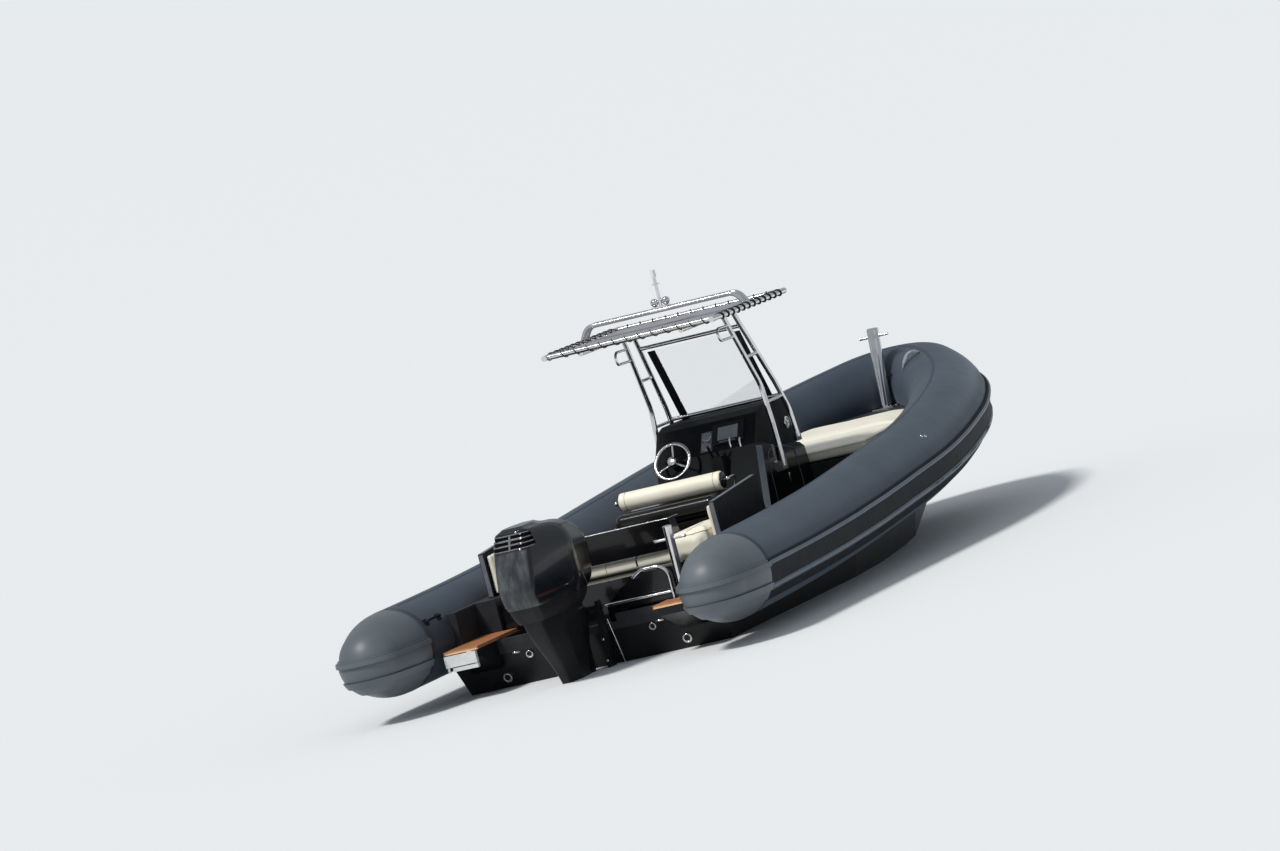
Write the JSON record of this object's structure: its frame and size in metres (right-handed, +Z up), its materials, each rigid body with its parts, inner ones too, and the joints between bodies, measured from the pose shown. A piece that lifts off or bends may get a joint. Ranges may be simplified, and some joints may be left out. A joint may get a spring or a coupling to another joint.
{
  "type": "rigid inflatable boat",
  "caption": "Rigid inflatable boat with air tubes, centre console, canopy on a steel frame, stern bench and a tilting, steering outboard engine.",
  "frame": {"origin": "on the centreline, at the transom's aft face and at the waterline", "axes": "+X forward to the bow, +Y to port, +Z up"},
  "size_m": [8.0359, 3.277, 3.4046],
  "materials": {
    "hull_black": "gloss",
    "deck_grey": "satin",
    "tube_fabric": "matt",
    "band_rubber": "satin",
    "teak": "oiled",
    "ladder_white": "satin",
    "stainless": "polished",
    "gloss_black": "gloss",
    "matt_black": "satin",
    "cream_vinyl": "satin",
    "screen_grey": "gloss",
    "canopy_mesh": "matt",
    "clear_pane": "clear",
    "pad_grey": "matt",
    "lamp_white": "gloss",
    "propeller_steel": "polished",
    "wheel_steel": "polished"
  },
  "bodies": {
    "boat": {"hull": "hull_black", "deck_moulding": "deck_grey", "cockpit_floor": "deck_grey", "tube_collar": "tube_fabric", "tube_ends": "tube_fabric", "rubbing_band": "band_rubber", "teak_platforms": "teak", "platform_brackets": "hull_black", "boarding_ladder": "ladder_white", "transom_fittings": "stainless", "stern_post": "stainless", "stern_locker": "gloss_black", "stern_rail": "stainless", "stern_bench": "gloss_black", "backrest_shell": "gloss_black", "backrest_pad": "cream_vinyl", "bench_cushions": "cream_vinyl", "coaming_shells": "gloss_black", "coaming_pads": "cream_vinyl", "console_base": "gloss_black", "console_pod": "gloss_black", "dash_instruments": "screen_grey", "helm_boss": "stainless", "throttle": "matt_black", "seat_box": "gloss_black", "seat_tub": "gloss_black", "bolster_roll": "cream_vinyl", "bolster_knobs": "stainless", "canopy_frame": "stainless", "canopy_cloth": "canopy_mesh", "canopy_legs_port": "stainless", "canopy_legs_starboard": "stainless", "canopy_cross_bars": "stainless", "windscreen": "clear_pane", "screen_borders": "matt_black", "antenna_hoop": "stainless", "light_mast": "stainless", "mast_lamp": "lamp_white", "horns": "stainless", "bow_cushions": "cream_vinyl", "bow_pad": "pad_grey", "anchor_locker": "deck_grey", "bow_post": "stainless", "engine_clamp": "matt_black"},
    "engine_tilt": {"swivel_bracket": "matt_black"},
    "engine_steer": {"drive_leg": "gloss_black", "gearcase": "gloss_black", "engine_pan": "matt_black", "engine_cowl": "gloss_black"},
    "propeller": {"propeller": "propeller_steel"},
    "helm_wheel": {"steering_wheel": "wheel_steel"}
  },
  "joints": [
    {"name": "engine_tilt", "type": "hinge", "parent": "boat", "child": "engine_tilt", "pos_m": [-0.02, 0, 0.42], "axis": [0, 1, 0], "range_deg": [-4, 62]},
    {"name": "engine_steer", "type": "hinge", "parent": "engine_tilt", "child": "engine_steer", "pos_m": [-0.175, 0, 0], "axis": [0, 0, 1], "range_deg": [-30, 30]},
    {"name": "propeller_spin", "type": "hinge", "parent": "engine_steer", "child": "propeller", "pos_m": [-0.66, 0, -0.7], "axis": [1, 0, 0], "continuous": true},
    {"name": "helm_wheel_turn", "type": "hinge", "parent": "boat", "child": "helm_wheel", "pos_m": [2.65, 0.215, 1.092], "axis": [0.866, 0, -0.5], "range_deg": [-720, 720]}
  ],
  "couplings": [
    {"joint": "helm_wheel_turn", "follows": "engine_steer", "ratio": 24}
  ]
}
